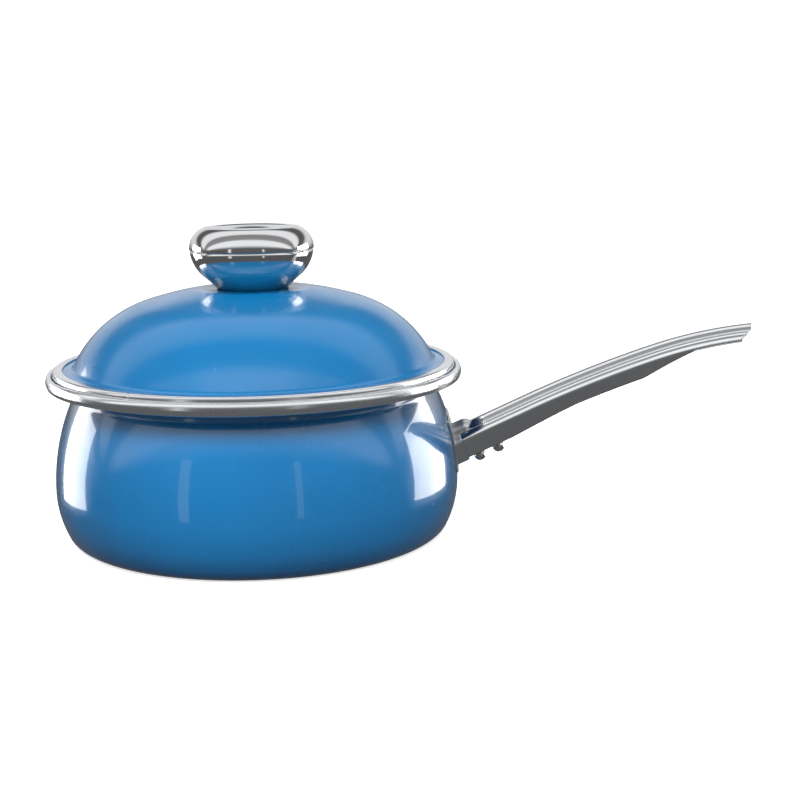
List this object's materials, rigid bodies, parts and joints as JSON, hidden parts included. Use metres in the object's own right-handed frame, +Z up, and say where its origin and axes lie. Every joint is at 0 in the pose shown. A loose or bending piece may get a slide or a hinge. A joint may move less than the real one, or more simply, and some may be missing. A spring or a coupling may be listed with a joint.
{
  "type": "saucepan with domed lid",
  "caption": "Belly-shaped enamelled saucepan with a stainless rim, a riveted pressed channel handle and a lift-off domed enamel lid with a polished metal knob.",
  "frame": {"origin": "centre of the flat base, on the pot's axis, on the surface it stands on", "axes": "+Z up along the pot's axis, +X from the axis towards the tip of the handle"},
  "size_m": [0.3235, 0.19, 0.1415],
  "materials": {
    "enamel_blue": "gloss vitreous enamel, medium blue",
    "rim_steel": "bright stainless strip",
    "handle_steel": "bright pressed stainless",
    "knob_steel": "mirror-polished stainless",
    "fixing_steel": "plain steel fixings"
  },
  "bodies": {
    "pan": {"pot_shell": "enamel_blue", "pot_rim_band": "rim_steel", "handle_bracket": "handle_steel", "handle_channel": "handle_steel", "rivet_rear": "fixing_steel", "rivet_front": "fixing_steel", "rivet_collar_rear": "fixing_steel", "rivet_collar_front": "fixing_steel"},
    "lid": {"lid_dome": "enamel_blue", "lid_edge_ring": "rim_steel", "knob_base": "knob_steel", "knob_cap": "knob_steel", "knob_post": "fixing_steel", "knob_screw": "fixing_steel", "lid_washer": "fixing_steel"}
  },
  "joints": [
    {"name": "lid_lift", "type": "slide", "parent": "pan", "child": "lid", "axis": [0, 0, 1], "range_m": [0, 0.06]}
  ]
}
